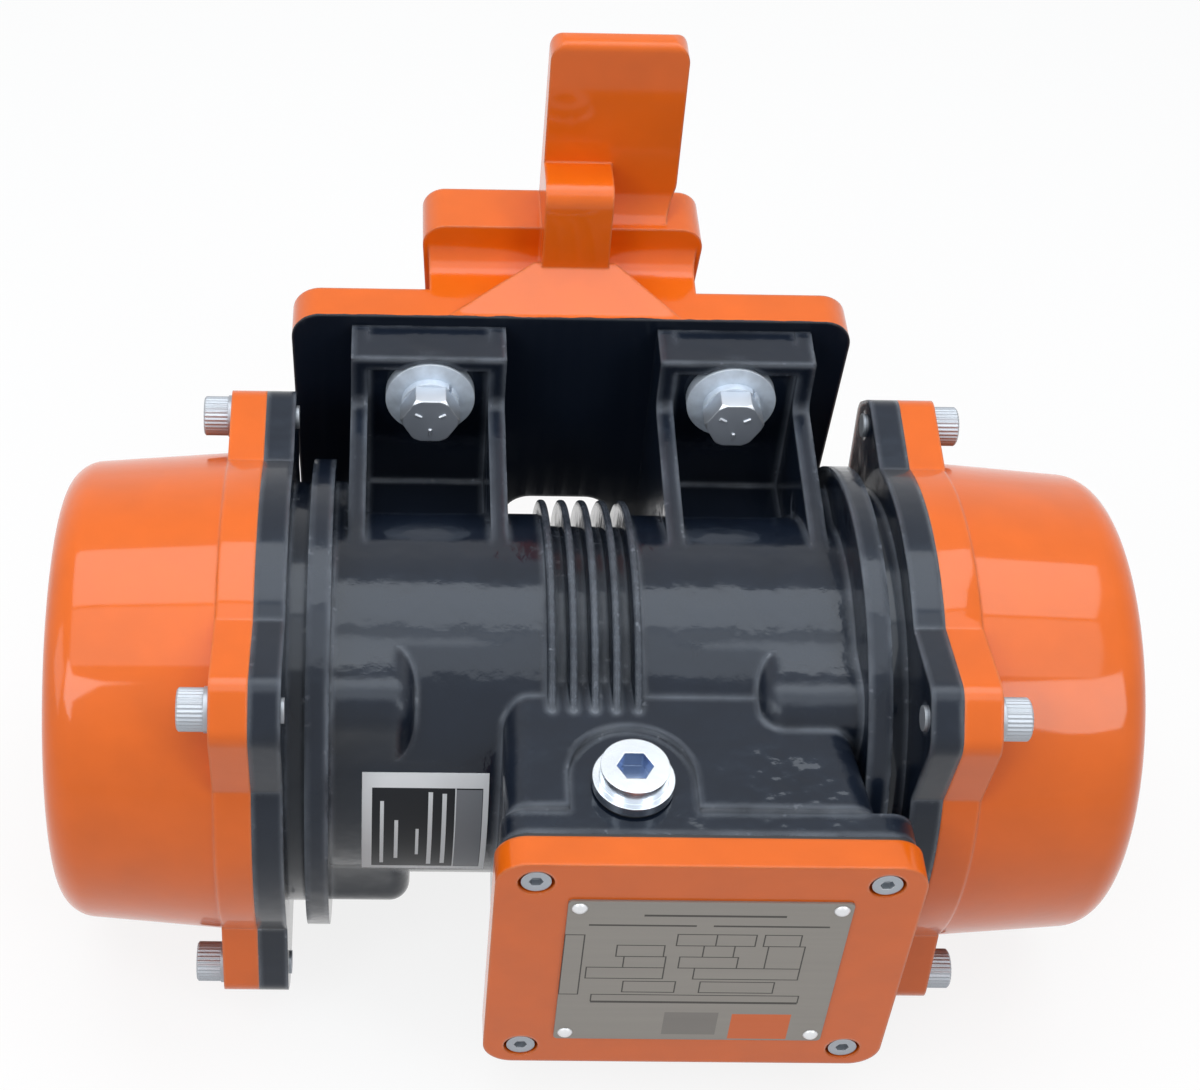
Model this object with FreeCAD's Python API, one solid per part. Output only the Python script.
import FreeCAD, Part
import math
import os
from FreeCAD import Vector

# Vibration motor with a male wedge bracket. Millimetres.
# Everything is drawn about the shaft: X along it, +Y to the back, where the feet are, and +Z up.
# save() then moves each piece so that the origin is the middle of the wedge's seat face.

# ---- driving dimensions -------------------------------------------------------------------------
# barrel
barrel_r = 62.0
barrel_wall = 10.0
body_half = 92.0
end_disc_rise = 18.0
end_disc_thick = 7.5
block_inset = 7.0
block_corner = 13.0
block_end_round = 7.0
back_block_length = 10.0
left_block_length = 27.0
right_block_length = 32.0
fin_rise = 5.0
fin_groove = 4.0
fin_root_thick = 3.8
fin_tip_thick = 2.2
fin_tip_round = 0.9
fin_pitch = 6.9
fin_count = 5

# feet: hole pattern, flange and ribs
foot_spacing_x = 105.0
foot_spacing_z = 140.0
foot_hole_r = 6.5
foot_plane_y = 92.0
foot_flange = 14.5
foot_rim = 3.5
foot_rim_width = 6.0
foot_edge_round = 2.0
rib_round = 4.0
foot_inner_x = 26.5
foot_outer_x = 80.0
foot_half_height = 88.5
rib_thick = 5.8
rib_top_z = 68.0
rib_tangent_y = 11.0
foot_core_half = 27.0
spot_face_gap = 0.5

# bearing shields
shield_gap = 6.5
shield_thick = 10.0
shield_boss_step = 8.0
flange_r = 83.0
lobe_tip_r = 103.0
lobe_root_half = 27.0
lobe_tip_half = 9.0
lobe_corner = 8.0
lobe_root_depth = 15.0
lobe_angle = 45.0
hub_r = 46.0
hub_stands_out = 3.0
spigot_length = 9.0
shield_screw_reach = 17.0

# bearings and shaft
bearing_r = 36.0
bearing_bore_r = 15.0
bearing_width = 19.0
bearing_setback = 2.0
bearing_edge_round = 1.0
roller_share = 0.262
roller_rim = 3.0
roller_count = 11
roller_gap = 0.1
roller_end_gap = 0.3
cage_wall = 2.4
shaft_core_r = 18.0
shaft_end_r = 14.0
seal_r = 26.0
seal_width = 4.0
running_gap = 0.05
circlip_thick = 2.5
circlip_depth = 2.0
circlip_reach = 3.0
circlip_opening = 10.0
circlip_gap = 0.2
shaft_groove = 1.5
shaft_chamfer = 1.5

# electric parts
rotor_r = 31.0
air_gap = 0.6
core_half = 38.0
end_ring_r = 30.0
end_ring_bore_r = 21.0
end_ring_length = 8.0
end_turn_length = 20.0
end_turn_from_bore = 3.0
end_turn_from_rotor = 5.0
end_turn_round_share = 0.38

# eccentric weights
weight_r = 69.0
weight_thick = 20.0
weight_hub_r = 26.0
weight_gap = 0.4
spacer_length = 8.0
spacer_r = 20.0
shaft_tail = 6.0
clamp_ear_half = 18.0
clamp_ear_top = 36.0
clamp_slot = 3.0
clamp_bolt_r = 4.0
clamp_bolt_z = 27.0
clamp_bolt_flats = 13.0
clamp_bolt_turn = 30.0
clamp_bolt_head = 5.3
clamp_bolt_tail = 6.0
key_width = 8.0
key_height = 7.0

# weight covers
cover_flange_thick = 12.0
cup_root_r = 81.7
cup_end_r = 77.4
cup_length = 67.0
cup_wall = 4.0
cup_corner = 12.0
cover_flange_round = 1.0
seal_ring_r = 1.5

# screws: (shank radius, head radius, head height)
cap_screw = (4.0, 6.8, 8.3)
cap_washer_thick = 1.6
cap_socket_r = 3.6
cover_screw_pcr = 94.4
shield_screw_pcr = 66.0
tap_spare = 2.0
screw_clearance = 0.4
head_clearance = 0.4
washer_margin = 0.4
cover_screw_poke = 0.8

# terminal box and its cover
box_left_x = -31.0
box_right_x = 97.0
box_root_left_x = -28.0
box_root_right_x = 74.5
box_front_left_x = -30.0
box_front_right_x = 85.5
box_top_z = 46.0
box_bottom_z = -64.0
box_front_y = -95.0
box_corner = 8.0
box_wall = 7.0
box_floor_y = -66.0
ledge_drop = 2.0
ledge_depth = 9.0
arch_half = 20.0
arch_depth = 32.0
wire_hole_r = 7.0
wire_hole_z = -26.0
wire_hole_reach = 30.0
cover_lip = 2.0
cover_depth = 11.0
cover_skin = 4.0
cover_corner = 10.0
gasket_thick = 1.0
box_screw_inset_x = 10.5
box_screw_inset_z = 9.0
box_screw = (3.0, 4.7, 4.0)
box_screw_recess_r = 5.7
box_screw_reach = 11.0
box_screw_wall = 1.0
box_screw_sink = 0.5
box_screw_flats = 4.0
box_screw_socket = 2.5

# plug and cable entry
entry_x = 10.0
entry_y = -76.5
entry_r = 9.25
second_entry_x = 55.0
plug_flange_r = 12.8
plug_flange_thick = 3.5
plug_head_r = 10.7
plug_head_height = 5.5
plug_socket_flats = 10.0
plug_socket_depth = 6.0
plug_length = 10.0
plug_seal_thick = 1.2
plug_seal_inset = 0.6

# nameplate
plate_width = 88.0
plate_height = 76.0
plate_thick = 0.8
plate_corner = 1.5
plate_centre_x = 33.9
plate_centre_z = -11.0
rivet_r = 2.6
rivet_rise = 1.4
rivet_inset = 3.6

# label on the barrel
label_from_box = 2.0
label_width = 41.0
label_half_angle = 24.0
label_thick = 0.3

# terminals
block_width = 56.0
block_z = 6.0
block_height = 30.0
block_rise = 12.0
block_edge = 3.0
stud_r = 2.5
stud_length = 20.0
stud_spacing = 17.0
stud_nut_flats = 8.0
stud_nut_height = 4.0
stud_count = 3
ground_x = 62.0
ground_z = -44.0
ground_washer_r = 5.0
ground_washer_thick = 1.0
ground_head = 5.0

# foot bolts
foot_bolt_r = 6.0
foot_bolt_flats = 18.0
foot_bolt_head = 8.0
foot_bolt_end_gap = 1.0
foot_bolt_bevel = 0.9
foot_washer_r = 15.5
foot_washer_thick = 5.0
foot_washer_bevel = 1.0
foot_washer_land_r = 11.0
lock_washer_r = 10.0
lock_washer_thick = 2.8
lock_washer_split = 1.6
head_mark_start = 3.6
head_mark_length = 2.6
head_mark_width = 1.0
head_mark_rise = 0.4

# wedge bracket
bracket_x = -3.2
bracket_plate = 15.0
bracket_half_width = 98.2
bracket_foot_half_width = 92.5
bracket_top_z = 91.7
bracket_bottom_z = -88.0
bracket_corner = 10.0
bracket_foot_corner = 12.0
bracket_edge = 0.5
window_half = 20.0
window_top_z = 6.0
window_bottom_z = -62.0
window_corner = 10.0
neck_depth = 15.0
neck_inset = 2.0
neck_top_z = 92.5
neck_cove = 9.0
neck_top_drop = 4.0
neck_bottom_z = 20.0
wedge_thick = 22.0
wedge_top_z = 108.0
wedge_bottom_z = -13.0
wedge_top_half = 50.0
wedge_bottom_half = 42.0
wedge_corner = 8.0
wedge_offset_x = -2.9
tongue_left_x = -14.0
tongue_right_x = 33.0
tongue_foot_x = 30.0
tongue_top_z = 175.0
tongue_foot_thick = 14.0
tongue_tip_thick = 9.0
tongue_corner = 7.0
tongue_tip_round = 3.5
tongue_cove = 12.0
web_right_x = 9.5
web_front_y = 109.5
web_lean = 3.0
web_top_z = 131.0
web_top_round = 7.0
ramp_left_x = -47.0
ramp_right_x = 35.0
ramp_top_z = 101.0
ramp_spread = 2.5
ramp_depth = 20.0
ramp_inset = 2.0

# how far a cutting tool runs past what it cuts, and a fused piece into its neighbour
past = 1.0

# ---- places that follow from the sizes ----------------------------------------------------------
bore_r = barrel_r - barrel_wall
end_disc_r = barrel_r + end_disc_rise
end_turn_outer_r = bore_r - end_turn_from_bore
end_turn_inner_r = rotor_r + end_turn_from_rotor
end_turn_round = (end_turn_outer_r - end_turn_inner_r) * end_turn_round_share
block_half = barrel_r - block_inset
fin_r = barrel_r + fin_rise
shield_boss_r = end_disc_r - shield_boss_step
label_right_x = box_left_x - label_from_box
label_left_x = label_right_x - label_width
shield_inner_x = body_half + shield_gap
seam_x = shield_inner_x + shield_thick
cover_face_x = seam_x + cover_flange_thick
bearing_x = seam_x - bearing_setback - bearing_width
bearing_end_x = bearing_x + bearing_width
clip_end_x = bearing_end_x + circlip_thick
weight_x = bearing_end_x + spacer_length
outer_weight_x = weight_x + weight_thick + weight_gap
shaft_stop_x = outer_weight_x + weight_thick + weight_gap
shaft_clip_x = shaft_stop_x + circlip_thick
shaft_half = shaft_clip_x + shaft_tail
foot_face_y = foot_plane_y - foot_flange
bracket_back_y = foot_plane_y + bracket_plate
wedge_front_y = bracket_back_y + neck_depth
seat_y = wedge_front_y + wedge_thick
wedge_x = bracket_x + wedge_offset_x
wedge_mid_z = (wedge_top_z + wedge_bottom_z) / 2
box_mid_x = (box_left_x + box_right_x) / 2
cover_back_y = box_front_y - gasket_thick
cover_face_y = cover_back_y - cover_depth
ledge_z = box_top_z - ledge_drop
box_mid_z = (ledge_z + box_bottom_z) / 2
cavity_mid_x = (box_front_left_x + box_front_right_x) / 2
seal_groove_r = cup_root_r - cup_wall / 2
roller_pitch_r = (bearing_bore_r + bearing_r) / 2
roller_r = (bearing_r - bearing_bore_r) * roller_share
roller_length = bearing_width - 2 * (roller_rim + roller_end_gap)


# ---- helpers ------------------------------------------------------------------------------------
def rounded_wire(corners):
    """Closed wire through (u, v, radius) corners; a radius of 0 leaves the corner sharp."""
    count = len(corners)
    turns = []
    for i, (u, v, radius) in enumerate(corners):
        here = Vector(u, v, 0)
        back = (Vector(corners[i - 1][0], corners[i - 1][1], 0) - here).normalize()
        ahead = (Vector(corners[(i + 1) % count][0], corners[(i + 1) % count][1], 0) - here).normalize()
        if radius <= 0:
            turns.append((here, None, here))
            continue
        half = back.getAngle(ahead) / 2
        cut = radius / math.tan(half)
        middle = here + (back + ahead).normalize() * (radius / math.sin(half) - radius)
        turns.append((here + back * cut, middle, here + ahead * cut))
    edges = []
    for i, (start, middle, end) in enumerate(turns):
        if middle:
            edges.append(Part.Arc(start, middle, end).toShape())
        following = turns[(i + 1) % count][0]
        if (following - end).Length > 1e-6:
            edges.append(Part.LineSegment(end, following).toShape())
    return Part.Wire(edges)


TURNED = {
    "X": FreeCAD.Matrix(0, 0, 1, 0, 1, 0, 0, 0, 0, 1, 0, 0, 0, 0, 0, 1),
    "Y": FreeCAD.Matrix(1, 0, 0, 0, 0, 0, -1, 0, 0, 1, 0, 0, 0, 0, 0, 1),
    "Z": FreeCAD.Matrix(),
}


def prism(corners, axis, low, high):
    """Solid from low to high along an axis. Corners are (y, z), (x, z) or (x, y), for axis X, Y or Z."""
    face = Part.Face(rounded_wire(corners))
    start = -high if axis == "Y" else low
    solid = face.extrude(Vector(0, 0, high - low))
    solid.translate(Vector(0, 0, start))
    solid.Placement = FreeCAD.Placement(TURNED[axis]).multiply(solid.Placement)
    return solid


def spun(corners):
    """Solid turned about the shaft from (x, r, corner radius) corners."""
    return Part.Face(rounded_wire(corners)).revolve(Vector(0, 0, 0), Vector(1, 0, 0), 360)


def tube(low, high, outer, inner=0.0):
    """Round bar or ring on the shaft line."""
    bar = Part.makeCylinder(outer, high - low, Vector(low, 0, 0), Vector(1, 0, 0))
    if inner:
        bar = bar.cut(Part.makeCylinder(inner, high - low, Vector(low, 0, 0), Vector(1, 0, 0)))
    return bar


def rod(x, y, z, radius, length, direction):
    return Part.makeCylinder(radius, length, Vector(x, y, z), direction)


def box(low, high):
    size = [b - a for a, b in zip(low, high)]
    return Part.makeBox(*size, Vector(*low))


def hexagon(flats, length, base, direction, turn=0.0):
    """Hexagonal bar from base along a direction, turned about it by an angle."""
    radius = flats / math.sqrt(3)
    angles = [math.radians(60 * i + turn) for i in range(6)]
    points = [(radius * math.cos(a), radius * math.sin(a)) for a in angles]
    wire = Part.makePolygon([Vector(u, v, 0) for u, v in points + points[:1]])
    bar = Part.Face(wire).extrude(Vector(0, 0, length))
    bar.Placement = FreeCAD.Placement(base, FreeCAD.Rotation(Vector(0, 0, 1), direction))
    return bar


def four(angle=lobe_angle):
    """The directions, in degrees, of four places round the shaft."""
    return [angle, 180 - angle, 180 + angle, 360 - angle]


def around(radius, angle):
    """(y, z) at a radius and an angle from +Y."""
    return radius * math.cos(math.radians(angle)), radius * math.sin(math.radians(angle))


def rectangle(half_u, half_v, radius, mid_u=0.0, mid_v=0.0):
    return [(mid_u - half_u, mid_v - half_v, radius), (mid_u + half_u, mid_v - half_v, radius),
            (mid_u + half_u, mid_v + half_v, radius), (mid_u - half_u, mid_v + half_v, radius)]


def trapezium(mid_u, low_half, low_v, low_radius, high_half, high_v, high_radius):
    """Symmetric outline with its own half width and corner radius at its low and its high edge."""
    return [(mid_u - low_half, low_v, low_radius), (mid_u + low_half, low_v, low_radius),
            (mid_u + high_half, high_v, high_radius), (mid_u - high_half, high_v, high_radius)]


ALONG, TO_FRONT, TO_BACK, UP = Vector(1, 0, 0), Vector(0, -1, 0), Vector(0, 1, 0), Vector(0, 0, 1)
TO_MOUNT = Vector(-wedge_x, -seat_y, -wedge_mid_z)


def save(name, *shapes):
    """Writes the solids of one node, moved to the mounting origin."""
    solids = [solid for shape in shapes for solid in shape.Solids]
    node = solids[0] if len(solids) == 1 else Part.makeCompound(solids)
    node = node.copy()
    node.translate(TO_MOUNT)
    if not node.isValid():
        print("invalid", name)
    print(name, len(solids), round(sum(s.Volume for s in solids) / 1000, 1))
    node.exportStep("parts/" + name + ".step")


def save_pair(name, make):
    """Writes a piece of the right end and its mirror image at the left end."""
    for side in ("right", "left"):
        shapes = make(side)
        if side == "left":
            shapes = [shape.mirror(Vector(0, 0, 0), ALONG) for shape in shapes]
        save(side + "_" + name, *shapes)


# ---- casting of the motor -----------------------------------------------------------------------
def foot(side):
    """One foot: a bolting flange with a rim, two side ribs that run to the barrel, and a core."""
    low, high = sorted((side * foot_inner_x, side * foot_outer_x))
    rim_y = foot_face_y - foot_rim
    half_rib = [(foot_plane_y, foot_half_height, foot_edge_round),
                (rim_y, foot_half_height - foot_edge_round, rib_round),
                (rim_y, rib_top_z, rib_round), (rib_tangent_y, barrel_r - past, 0)]
    outline = half_rib + [(0, barrel_r / 2, 0), (0, -barrel_r / 2, 0)]
    outline += [(y, -z, radius) for y, z, radius in reversed(half_rib)]
    shape = prism(outline, "X", low, low + rib_thick).fuse(prism(outline, "X", high - rib_thick, high))
    flange_half = foot_half_height - past
    shape = shape.fuse(box((low, foot_face_y, -flange_half), (high, foot_plane_y, flange_half)))
    for end in (1, -1):
        rim_low, rim_high = sorted((end * (foot_half_height - foot_rim_width), end * flange_half))
        shape = shape.fuse(box((low, rim_y, rim_low), (high, foot_plane_y, rim_high)))
    return shape.fuse(box((low, barrel_r / 2, -foot_core_half), (high, foot_plane_y, foot_core_half)))


def box_section(left_x, right_x, y, inset=0.0):
    """Rounded outline of the box's walls at one depth."""
    top, bottom = box_top_z - inset, box_bottom_z + ledge_drop + inset
    left, right = left_x + inset, right_x - inset
    wire = rounded_wire([(left, bottom, box_corner), (right, bottom, box_corner),
                         (right, top, box_corner), (left, top, box_corner)])
    wire.Placement = FreeCAD.Placement(Vector(0, y, 0), FreeCAD.Placement(TURNED["Y"]).Rotation)
    return wire


def end_block(side, length):
    """Square boss behind an end disc, for the shield's screws: long in front, short at the back."""
    disc_x = side * (body_half - end_disc_thick)
    low, high = sorted((disc_x, disc_x - side * length))
    block = prism(rectangle(block_half, block_half, block_corner), "X", low, high)
    end_x = disc_x - side * length
    rim = [edge for edge in block.Edges if all(abs(v.X - end_x) < 0.01 for v in edge.Vertexes)]
    block = block.makeFillet(block_end_round, rim)
    low, high = sorted((end_x, disc_x - side * back_block_length))
    return block.cut(box((low, 0, -barrel_r), (high, barrel_r, barrel_r)))


def fin(middle):
    """Cooling fin round the barrel, thinner at its rounded tip."""
    root, tip = fin_root_thick / 2, fin_tip_thick / 2
    low = barrel_r - fin_groove - past
    return spun([(middle - root, low, 0), (middle + root, low, 0), (middle + tip, fin_r, fin_tip_round),
                 (middle - tip, fin_r, fin_tip_round)])


def terminal_box():
    """Tapered box on the front of the barrel, with a rim for its cover and an arched recess at the entry."""
    rim_back = box_front_y + ledge_depth
    shape = Part.makeLoft([box_section(box_root_left_x, box_root_right_x, 0),
                           box_section(box_front_left_x, box_front_right_x, rim_back)], True)
    arch_back = rim_back + arch_depth - arch_half
    arch = box((entry_x - arch_half, rim_back, ledge_z), (entry_x + arch_half, arch_back, box_top_z + past))
    arch = arch.fuse(rod(entry_x, arch_back, ledge_z, arch_half, ledge_drop + past, UP))
    half_x, half_z = (box_right_x - box_left_x) / 2, (ledge_z - box_bottom_z) / 2
    rim = prism(rectangle(half_x, half_z, box_corner, box_mid_x, box_mid_z), "Y", box_front_y, rim_back)
    return shape.cut(arch).fuse(rim)


def box_cavity():
    half_x = (box_front_right_x - box_front_left_x) / 2 - box_wall
    half_z = (ledge_z - box_bottom_z) / 2 - box_wall
    inside = rectangle(half_x, half_z, box_corner, cavity_mid_x, box_mid_z)
    cavity = prism(inside, "Y", box_front_y - past, box_floor_y)
    pillar_r = box_screw_recess_r + box_screw_wall
    length = box_floor_y - box_front_y + past
    for x, z in box_screw_places():
        cavity = cavity.cut(rod(x, box_front_y - past, z, pillar_r, length, TO_BACK))
    return cavity


def box_screw_places():
    return [(x, z) for x in (box_left_x + box_screw_inset_x, box_right_x - box_screw_inset_x)
            for z in (box_bottom_z + box_screw_inset_z, ledge_z - box_screw_inset_z)]


def foot_bolt_places():
    return [(x, z) for x in (-foot_spacing_x / 2, foot_spacing_x / 2)
            for z in (-foot_spacing_z / 2, foot_spacing_z / 2)]


def motor_body():
    shape = tube(-body_half, body_half, barrel_r)
    for low in (-body_half, body_half - end_disc_thick):
        shape = shape.fuse(tube(low, low + end_disc_thick, end_disc_r))
    shape = shape.fuse(end_block(-1, left_block_length)).fuse(end_block(1, right_block_length))
    first_fin = -(fin_count - 1) / 2 * fin_pitch
    shape = shape.cut(tube(first_fin, -first_fin, fin_r, barrel_r - fin_groove))
    for i in range(fin_count):
        middle = first_fin + i * fin_pitch
        shape = shape.fuse(fin(middle))
    shape = shape.fuse(foot(1)).fuse(foot(-1)).fuse(terminal_box())
    shape = shape.cut(box_cavity()).cut(tube(-body_half, body_half, bore_r))
    wire_hole = rod(cavity_mid_x, box_floor_y - past, wire_hole_z, wire_hole_r, wire_hole_reach, TO_BACK)
    shape = shape.cut(wire_hole)
    shape = shape.cut(rod(entry_x, entry_y, box_top_z - 2 * box_wall, entry_r, 2 * box_wall + past, UP))
    shape = shape.cut(rod(second_entry_x, entry_y, box_bottom_z - past, entry_r, 2 * box_wall, UP))
    for x, z in foot_bolt_places():
        shape = shape.cut(rod(x, foot_plane_y, z, foot_hole_r, foot_flange + foot_rim, TO_FRONT))
        shape = shape.cut(rod(x, foot_face_y, z, foot_washer_r + spot_face_gap, foot_rim + past, TO_FRONT))
    for x, z in box_screw_places():
        shape = shape.cut(rod(x, box_front_y, z, box_screw[0], box_screw_reach + tap_spare, TO_BACK))
    for angle in four():
        y, z = around(shield_screw_pcr, angle)
        for low in (-body_half, body_half - shield_screw_reach):
            shape = shape.cut(rod(low, y, z, cap_screw[0], shield_screw_reach, ALONG))
    return shape.removeSplitter()


# ---- ends of the motor, drawn for the right end -------------------------------------------------
def lobes(low, high):
    """Four lobes that carry the cover screws."""
    root = math.sqrt(flange_r ** 2 - lobe_root_half ** 2)
    inside = root - lobe_root_depth
    corners = [(inside, -lobe_root_half, 0), (root, -lobe_root_half, 0),
               (lobe_tip_r, -lobe_tip_half, lobe_corner), (lobe_tip_r, lobe_tip_half, lobe_corner),
               (root, lobe_root_half, 0), (inside, lobe_root_half, 0)]
    shape = None
    for angle in four():
        lobe = prism(corners, "X", low, high)
        lobe.rotate(Vector(0, 0, 0), ALONG, angle)
        shape = lobe if shape is None else shape.fuse(lobe)
    return shape


def bearing_shield(side):
    spigot_x = body_half - spigot_length
    groove_r = bearing_r + circlip_depth
    hub_end = seam_x + hub_stands_out
    shape = spun([(spigot_x, seal_r, 0), (spigot_x, bore_r, 0), (body_half, bore_r, 0),
                  (body_half, shield_boss_r, 0), (shield_inner_x, shield_boss_r, 0),
                  (shield_inner_x, flange_r, 0),
                  (seam_x, flange_r, 0), (seam_x, hub_r, 0), (hub_end, hub_r, 0),
                  (hub_end, bearing_r, 0), (clip_end_x, bearing_r, 0),
                  (clip_end_x, groove_r, 0), (bearing_end_x, groove_r, 0),
                  (bearing_end_x, bearing_r, 0), (bearing_x, bearing_r, 0), (bearing_x, seal_r, 0)])
    shape = shape.fuse(lobes(shield_inner_x, seam_x))
    shank, head, height = cap_screw
    for angle in four():
        y, z = around(cover_screw_pcr, angle)
        shape = shape.cut(rod(shield_inner_x, y, z, shank, shield_thick, ALONG))
        y, z = around(shield_screw_pcr, angle)
        shape = shape.cut(rod(body_half, y, z, shank, seam_x - body_half, ALONG))
        shape = shape.cut(rod(seam_x - height, y, z, head + head_clearance, height + past, ALONG))
    return [shape.removeSplitter()]


def socket_screw(tip_x, seat_x, pcr, angle):
    """Socket-head screw along the shaft direction, with its head on seat_x."""
    shank, head, height = cap_screw
    y, z = around(pcr, angle)
    shape = rod(tip_x, y, z, shank, seat_x - tip_x, ALONG).fuse(rod(seat_x, y, z, head, height, ALONG))
    flats = 2 * cap_socket_r * math.cos(math.pi / 6)
    socket = hexagon(flats, height / 2 + past, Vector(seat_x + height / 2, y, z), ALONG)
    return shape.cut(socket)


def shield_screws(side):
    seat_x = seam_x - cap_screw[2]
    tip_x = body_half - shield_screw_reach + tap_spare
    return [socket_screw(tip_x, seat_x, shield_screw_pcr, angle) for angle in four()]


def cover_screws(side):
    tip_x, seat_x = shield_inner_x - cover_screw_poke, cover_face_x + cap_washer_thick
    return [socket_screw(tip_x, seat_x, cover_screw_pcr, angle) for angle in four()]


def cover_washers(side):
    rings = []
    for angle in four():
        y, z = around(cover_screw_pcr, angle)
        ring = rod(cover_face_x, y, z, cap_screw[1] + washer_margin, cap_washer_thick, ALONG)
        rings.append(ring.cut(rod(cover_face_x, y, z, cap_screw[0], cap_washer_thick, ALONG)))
    return rings


def weight_cover(side):
    end_x = seam_x + cup_length
    inner_corner = cup_corner - cup_wall
    shape = spun([(seam_x, cup_root_r - cup_wall, 0), (seam_x, flange_r, 0),
                  (cover_face_x, flange_r, cover_flange_round),
                  (cover_face_x, cup_root_r, 0), (end_x, cup_end_r, cup_corner), (end_x, 0, 0),
                  (end_x - cup_wall, 0, 0), (end_x - cup_wall, cup_end_r - cup_wall, inner_corner)])
    shape = shape.fuse(lobes(seam_x, cover_face_x))
    shape = shape.cut(tube(seam_x, cover_face_x, cup_root_r - cup_wall)).cut(cover_seal(side)[0])
    for angle in four():
        y, z = around(cover_screw_pcr, angle)
        shape = shape.cut(rod(seam_x, y, z, cap_screw[0] + screw_clearance, cover_flange_thick, ALONG))
    return [shape.removeSplitter()]


def cover_seal(side):
    return [tube(seam_x, seam_x + seal_ring_r, seal_groove_r + seal_ring_r, seal_groove_r - seal_ring_r)]


# ---- bearings, shaft and weights ----------------------------------------------------------------
def bearing_outer_ring(side):
    lip = roller_pitch_r + roller_r / 2
    track = roller_pitch_r + roller_r + roller_gap
    return [spun([(bearing_x, lip, 0), (bearing_x, bearing_r, bearing_edge_round),
                  (bearing_end_x, bearing_r, bearing_edge_round), (bearing_end_x, lip, 0),
                  (bearing_end_x - roller_rim, lip, 0), (bearing_end_x - roller_rim, track, 0),
                  (bearing_x + roller_rim, track, 0), (bearing_x + roller_rim, lip, 0)])]


def bearing_inner_ring(side):
    return [tube(bearing_x, bearing_end_x, roller_pitch_r - roller_r - roller_gap, bearing_bore_r)]


def roller_places():
    return [around(roller_pitch_r, 360 * i / roller_count) for i in range(roller_count)]


def bearing_rollers(side):
    low = bearing_x + roller_rim + roller_end_gap
    return [rod(low, y, z, roller_r, roller_length, ALONG) for y, z in roller_places()]


def bearing_cage(side):
    low, high = bearing_x + roller_rim, bearing_end_x - roller_rim
    half_rim, half_wall = roller_rim / 2, cage_wall / 2
    ring = tube(low - half_rim, high + half_rim, roller_pitch_r + half_wall, roller_pitch_r - half_wall)
    for y, z in roller_places():
        ring = ring.cut(rod(low, y, z, roller_r + roller_gap, high - low, ALONG))
    return [ring]


def bearing_circlip(side):
    outer = bearing_r + circlip_depth - circlip_gap
    ring = tube(bearing_end_x, clip_end_x, outer, bearing_r - circlip_reach)
    half_gap = circlip_opening / 2
    return [ring.cut(box((bearing_end_x, -half_gap, 0), (clip_end_x, half_gap, outer)))]


def shaft_seal(side):
    low = body_half - spigot_length
    return [tube(low, low + seal_width, seal_r, shaft_core_r + running_gap)]


def spacer_ring(side):
    return [tube(bearing_end_x, weight_x, spacer_r, bearing_bore_r)]


def key_box(low, high):
    half, bottom = key_width / 2, -shaft_end_r - key_height / 2
    return box((low, -half, bottom), (high, half, bottom + key_height))


def shaft():
    half = [(0, shaft_core_r), (bearing_x, shaft_core_r), (bearing_x, bearing_bore_r),
            (weight_x, bearing_bore_r), (weight_x, shaft_end_r), (shaft_stop_x, shaft_end_r),
            (shaft_stop_x, shaft_end_r - shaft_groove),
            (shaft_clip_x, shaft_end_r - shaft_groove), (shaft_clip_x, shaft_end_r),
            (shaft_half - shaft_chamfer, shaft_end_r), (shaft_half, shaft_end_r - shaft_chamfer)]
    right = [(x, r, 0) for x, r in half[1:]] + [(shaft_half, 0, 0)]
    left = [(-x, r, radius) for x, r, radius in reversed(right)]
    shape = spun(right + left)
    for low, high in ((weight_x, weight_x + weight_thick), (-weight_x - weight_thick, -weight_x)):
        shape = shape.cut(key_box(low, high))
    return shape


def half_disc(low):
    """Steel half disc with a hub, the heavy side down."""
    high = low + weight_thick
    disc = tube(low, high, weight_r).common(box((low, -weight_r, -weight_r), (high, weight_r, 0)))
    return disc.fuse(tube(low, high, weight_hub_r))


def fixed_weight(side):
    shape = half_disc(weight_x).cut(tube(weight_x, weight_x + weight_thick, shaft_end_r))
    return [shape.cut(key_box(weight_x, weight_x + weight_thick))]


def weight_key(side):
    return [key_box(weight_x, weight_x + weight_thick)]


def adjustable_weight(side):
    low, high = outer_weight_x, outer_weight_x + weight_thick
    shape = half_disc(low).fuse(box((low, -clamp_ear_half, 0), (high, clamp_ear_half, clamp_ear_top)))
    shape = shape.cut(tube(low, high, shaft_end_r + running_gap))
    shape = shape.cut(box((low, -clamp_slot / 2, 0), (high, clamp_slot / 2, clamp_ear_top)))
    middle = (low + high) / 2
    return [shape.cut(rod(middle, clamp_ear_half, clamp_bolt_z, clamp_bolt_r, 2 * clamp_ear_half, TO_FRONT))]


def clamp_bolt(side):
    middle = outer_weight_x + weight_thick / 2
    length = 2 * clamp_ear_half + clamp_bolt_tail
    bolt = rod(middle, clamp_ear_half, clamp_bolt_z, clamp_bolt_r, length, TO_FRONT)
    seat = Vector(middle, clamp_ear_half, clamp_bolt_z)
    return [bolt.fuse(hexagon(clamp_bolt_flats, clamp_bolt_head, seat, TO_BACK, clamp_bolt_turn))]


def shaft_circlip(side):
    outer = shaft_end_r + circlip_reach
    ring = tube(shaft_stop_x, shaft_clip_x, outer, shaft_end_r - shaft_groove)
    half_gap = circlip_opening / 2
    return [ring.cut(box((shaft_stop_x, -half_gap, 0), (shaft_clip_x, half_gap, outer)))]


def winding_end(side):
    low, high = core_half, core_half + end_turn_length
    return spun([(side * low, end_turn_inner_r, 0), (side * low, end_turn_outer_r, 0),
                 (side * high, end_turn_outer_r, end_turn_round),
                 (side * high, end_turn_inner_r, end_turn_round)])


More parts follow.
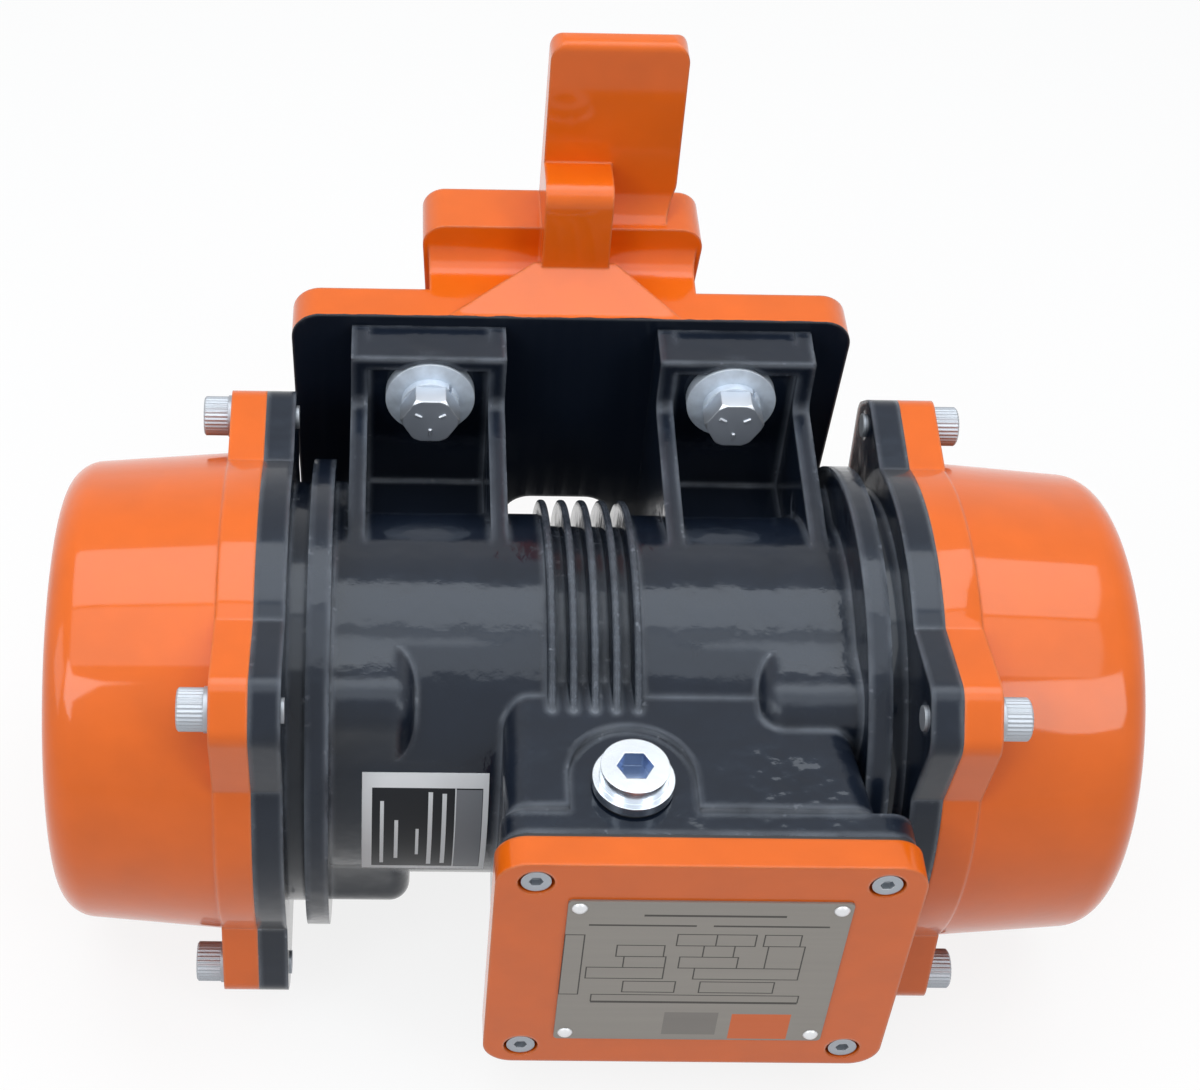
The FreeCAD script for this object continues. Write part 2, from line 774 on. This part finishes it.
# ---- terminal box pieces ------------------------------------------------------------------------
def cover_outline(inset=0.0):
    half_x = (box_right_x - box_left_x) / 2 + cover_lip - inset
    half_z = (ledge_z - box_bottom_z) / 2 - inset
    return rectangle(half_x, half_z, cover_corner - inset / 3, box_mid_x, box_mid_z)


def terminal_cover():
    shape = prism(cover_outline(), "Y", cover_face_y, cover_back_y)
    hollow = prism(cover_outline(2 * box_wall), "Y", cover_face_y + cover_skin, cover_back_y)
    shape = shape.cut(hollow)
    shank, head, height = box_screw
    for x, z in box_screw_places():
        shape = shape.cut(rod(x, cover_face_y, z, shank + screw_clearance, cover_depth, TO_BACK))
        shape = shape.cut(rod(x, cover_face_y, z, box_screw_recess_r, height, TO_BACK))
    return shape


def terminal_gasket():
    half_x, half_z = (box_right_x - box_left_x) / 2, (ledge_z - box_bottom_z) / 2
    outer = rectangle(half_x, half_z, box_corner, box_mid_x, box_mid_z)
    shape = prism(outer, "Y", cover_back_y, box_front_y)
    inner = rectangle(half_x - 2 * box_wall, half_z - 2 * box_wall, box_corner, box_mid_x, box_mid_z)
    shape = shape.cut(prism(inner, "Y", cover_back_y, box_front_y))
    for x, z in box_screw_places():
        shape = shape.cut(rod(x, cover_back_y, z, box_screw[0] + screw_clearance, gasket_thick, TO_BACK))
    return shape


def terminal_cover_screws():
    screws = []
    shank, head, height = box_screw
    head_y, under_head_y = cover_face_y + box_screw_sink, cover_face_y + height
    for x, z in box_screw_places():
        screw = rod(x, under_head_y, z, shank, box_front_y + box_screw_reach - under_head_y, TO_BACK)
        screw = screw.fuse(rod(x, head_y, z, head, under_head_y - head_y, TO_BACK))
        screws.append(screw.cut(hexagon(box_screw_flats, box_screw_socket, Vector(x, head_y, z), TO_BACK)))
    return screws


def terminal_block():
    return prism(rectangle(block_width / 2, block_height / 2, block_edge, cavity_mid_x, block_z), "Y",
                 box_floor_y - block_rise, box_floor_y)


def terminal_studs():
    top_y = box_floor_y - block_rise
    studs = []
    for i in range(stud_count):
        x = cavity_mid_x + (i - (stud_count - 1) / 2) * stud_spacing
        stud = rod(x, top_y, block_z, stud_r, stud_length - block_rise, TO_FRONT)
        nut = hexagon(stud_nut_flats, stud_nut_height, Vector(x, top_y, block_z), TO_FRONT)
        studs.append(stud.fuse(nut))
    return studs


def ground_screw():
    washer = rod(ground_x, box_floor_y, ground_z, ground_washer_r, ground_washer_thick, TO_FRONT)
    head_base = Vector(ground_x, box_floor_y - ground_washer_thick, ground_z)
    return washer.fuse(hexagon(stud_nut_flats, ground_head, head_base, TO_FRONT))


def blanking_plug():
    seat_z = ledge_z + plug_seal_thick
    shape = rod(entry_x, entry_y, seat_z - plug_length, entry_r, plug_length, UP)
    shape = shape.fuse(rod(entry_x, entry_y, seat_z, plug_flange_r, plug_flange_thick, UP))
    shape = shape.fuse(rod(entry_x, entry_y, seat_z + plug_flange_thick, plug_head_r, plug_head_height, UP))
    top_z = seat_z + plug_flange_thick + plug_head_height
    socket_base = Vector(entry_x, entry_y, top_z - plug_socket_depth)
    return shape.cut(hexagon(plug_socket_flats, plug_socket_depth, socket_base, UP))


def plug_seal():
    ring = rod(entry_x, entry_y, ledge_z, plug_flange_r - plug_seal_inset, plug_seal_thick, UP)
    return ring.cut(rod(entry_x, entry_y, ledge_z, entry_r, plug_seal_thick, UP))


def nameplate():
    corners = rectangle(plate_width / 2, plate_height / 2, plate_corner, plate_centre_x, plate_centre_z)
    return prism(corners, "Y", cover_face_y - plate_thick, cover_face_y)


def nameplate_rivets():
    heads = []
    sphere_r = (rivet_r ** 2 + rivet_rise ** 2) / (2 * rivet_rise)
    face_y = cover_face_y - plate_thick
    for u in (-1, 1):
        for v in (-1, 1):
            x = plate_centre_x + u * (plate_width / 2 - rivet_inset)
            z = plate_centre_z + v * (plate_height / 2 - rivet_inset)
            ball = Part.makeSphere(sphere_r, Vector(x, face_y + sphere_r - rivet_rise, z))
            heads.append(ball.common(rod(x, face_y, z, rivet_r + past, rivet_rise + past, TO_FRONT)))
    return heads


def barrel_label():
    ring = tube(label_left_x, label_right_x, barrel_r + label_thick, barrel_r)
    reach = 2 * barrel_r
    y, z = around(reach, 180 - label_half_angle)
    sector = prism([(0, 0, 0), (y, z, 0), (y, -z, 0)], "X", label_left_x, label_right_x)
    return ring.common(sector)


# ---- mounting -----------------------------------------------------------------------------------
def foot_washers():
    rings = []
    for x, z in foot_bolt_places():
        thin = foot_washer_thick - foot_washer_bevel
        ring = rod(x, foot_face_y, z, foot_washer_r, thin, TO_FRONT)
        cone_base = Vector(x, foot_face_y - thin, z)
        cone = Part.makeCone(foot_washer_r, foot_washer_land_r, foot_washer_bevel, cone_base, TO_FRONT)
        rings.append(ring.fuse(cone).cut(rod(x, foot_face_y, z, foot_hole_r, foot_washer_thick, TO_FRONT)))
    return rings


def lock_washers():
    rings = []
    low = foot_face_y - foot_washer_thick
    for x, z in foot_bolt_places():
        ring = rod(x, low, z, lock_washer_r, lock_washer_thick, TO_FRONT)
        ring = ring.cut(rod(x, low, z, foot_bolt_r, lock_washer_thick, TO_FRONT))
        half_split = lock_washer_split / 2
        split = box((x, low - lock_washer_thick, z - half_split), (x + lock_washer_r, low, z + half_split))
        split.rotate(Vector(x, low, z), TO_FRONT, lobe_angle)
        rings.append(ring.cut(split))
    return rings


def foot_bolts():
    bolts = []
    seat = foot_face_y - foot_washer_thick - lock_washer_thick
    face_y = seat - foot_bolt_head
    face_r = foot_bolt_flats / math.sqrt(3) - foot_bolt_bevel
    for x, z in foot_bolt_places():
        bolt = rod(x, seat, z, foot_bolt_r, bracket_back_y - foot_bolt_end_gap - seat, TO_BACK)
        head = hexagon(foot_bolt_flats, foot_bolt_head, Vector(x, seat, z), TO_FRONT, 0)
        bevel = Part.makeCone(face_r + foot_bolt_head, face_r, foot_bolt_head, Vector(x, seat, z), TO_FRONT)
        bolt = bolt.fuse(head.common(bevel))
        for turn in (30, 150, 270):
            mark = box((x + head_mark_start, face_y - head_mark_rise, z - head_mark_width / 2),
                       (x + head_mark_start + head_mark_length, face_y + past, z + head_mark_width / 2))
            mark.rotate(Vector(x, face_y, z), TO_FRONT, turn)
            bolt = bolt.fuse(mark)
        bolts.append(bolt)
    return bolts


def tongue():
    """Upright tongue on the back edge of the wedge, thinner towards its tip, with a coved foot."""
    foot_y, tip_y = seat_y - tongue_foot_thick, seat_y - tongue_tip_thick
    inner_y = wedge_front_y + past
    side_view = prism([(seat_y, wedge_mid_z, 0), (seat_y, tongue_top_z, tongue_tip_round),
                       (tip_y, tongue_top_z, tongue_tip_round), (foot_y, wedge_top_z, tongue_cove),
                       (inner_y, wedge_top_z - past, 0), (inner_y, wedge_mid_z, 0)],
                      "X", tongue_left_x, tongue_right_x)
    front_view = prism([(tongue_left_x, wedge_mid_z, 0), (tongue_foot_x, wedge_mid_z, 0),
                        (tongue_foot_x, wedge_top_z, tongue_cove),
                        (tongue_right_x, wedge_top_z + tongue_cove, tongue_cove),
                        (tongue_right_x, tongue_top_z, tongue_corner),
                        (tongue_left_x, tongue_top_z, tongue_corner)], "Y", wedge_front_y, seat_y)
    return side_view.common(front_view)


def web_and_ramp():
    """Web that braces the tongue, and the ramp that spreads its foot over the plate's edge."""
    low_z = ramp_top_z - ramp_depth
    web = prism([(web_front_y, low_z, 0), (web_front_y, ramp_top_z, 0),
                 (web_front_y + web_lean, web_top_z, web_top_round),
                 (seat_y - past, web_top_z - web_lean, 0), (seat_y - past, low_z, 0)],
                "X", tongue_left_x, web_right_x)
    wide = (ramp_left_x, ramp_right_x, foot_plane_y + bracket_edge, bracket_top_z)
    near = (tongue_left_x - ramp_spread, web_right_x + ramp_spread, web_front_y + ramp_inset, ramp_top_z)
    sections = []
    for left, right, y, top in (wide, near):
        corners = [Vector(left, y, low_z), Vector(right, y, low_z), Vector(right, y, top),
                   Vector(left, y, top)]
        sections.append(Part.makePolygon(corners + corners[:1]))
    return web.fuse(Part.makeLoft(sections, True, True))


def wedge_bracket():
    """Casting that carries the motor: bolting plate, neck, male wedge, rib and upright tongue."""
    plate = prism(trapezium(bracket_x, bracket_foot_half_width, bracket_bottom_z, bracket_foot_corner,
                            bracket_half_width, bracket_top_z, bracket_corner),
                  "Y", foot_plane_y, bracket_back_y)
    window = prism(trapezium(bracket_x, window_half, window_bottom_z, window_corner,
                             window_half, window_top_z, window_corner), "Y", foot_plane_y, bracket_back_y)
    wedge = prism(trapezium(wedge_x, wedge_bottom_half, wedge_bottom_z, wedge_corner,
                            wedge_top_half, wedge_top_z, wedge_corner), "Y", wedge_front_y, seat_y)
    inner_y, back_y, shoulder_z = foot_plane_y + past, seat_y - past, wedge_top_z - neck_top_drop
    neck = prism([(inner_y, neck_bottom_z, 0), (back_y, neck_bottom_z, 0), (back_y, shoulder_z, 0),
                  (wedge_front_y, shoulder_z, 0), (wedge_front_y, neck_top_z, neck_cove),
                  (inner_y, bracket_top_z - bracket_edge, 0)],
                 "X", wedge_x - wedge_top_half, wedge_x + wedge_top_half)
    neck = neck.common(prism(trapezium(wedge_x, wedge_bottom_half - neck_inset, wedge_bottom_z, 0,
                                       wedge_top_half - neck_inset, wedge_top_z, 0), "Y", inner_y, back_y))
    shape = plate.cut(window).fuse(neck).fuse(wedge).fuse(tongue()).fuse(web_and_ramp())
    for x, z in foot_bolt_places():
        shape = shape.cut(rod(x, foot_plane_y, z, foot_bolt_r, bracket_plate, TO_BACK))
    return shape.removeSplitter()


# ---- the nodes ----------------------------------------------------------------------------------
os.makedirs("parts", exist_ok=True)
save("wedge_bracket", wedge_bracket())
save("motor_body", motor_body())
save("foot_bolts", *foot_bolts())
save("foot_lock_washers", *lock_washers())
save("foot_washers", *foot_washers())
save("shaft", shaft())
save("rotor_core", tube(-core_half, core_half, rotor_r, shaft_core_r))
save("rotor_end_rings", tube(core_half, core_half + end_ring_length, end_ring_r, end_ring_bore_r),
     tube(-core_half - end_ring_length, -core_half, end_ring_r, end_ring_bore_r))
save("stator_core", tube(-core_half, core_half, bore_r, rotor_r + air_gap))
save("stator_windings", winding_end(1), winding_end(-1))
save("terminal_cover", terminal_cover())
save("terminal_gasket", terminal_gasket())
save("terminal_cover_screws", *terminal_cover_screws())
save("terminal_block", terminal_block())
save("terminal_studs", *terminal_studs())
save("ground_screw", ground_screw())
save("blanking_plug", blanking_plug())
save("plug_seal", plug_seal())
save("nameplate", nameplate())
save("nameplate_rivets", *nameplate_rivets())
save("barrel_label", barrel_label())
for name, make in (
    ("bearing_shield", bearing_shield), ("shield_screws", shield_screws), ("weight_cover", weight_cover),
    ("cover_seal", cover_seal), ("cover_screws", cover_screws), ("cover_washers", cover_washers),
    ("bearing_outer_ring", bearing_outer_ring), ("bearing_inner_ring", bearing_inner_ring),
    ("bearing_rollers", bearing_rollers), ("bearing_cage", bearing_cage),
    ("bearing_circlip", bearing_circlip), ("shaft_seal", shaft_seal), ("spacer_ring", spacer_ring),
    ("fixed_weight", fixed_weight),
    ("weight_key", weight_key), ("adjustable_weight", adjustable_weight), ("clamp_bolt", clamp_bolt),
    ("shaft_circlip", shaft_circlip),
):
    save_pair(name, make)
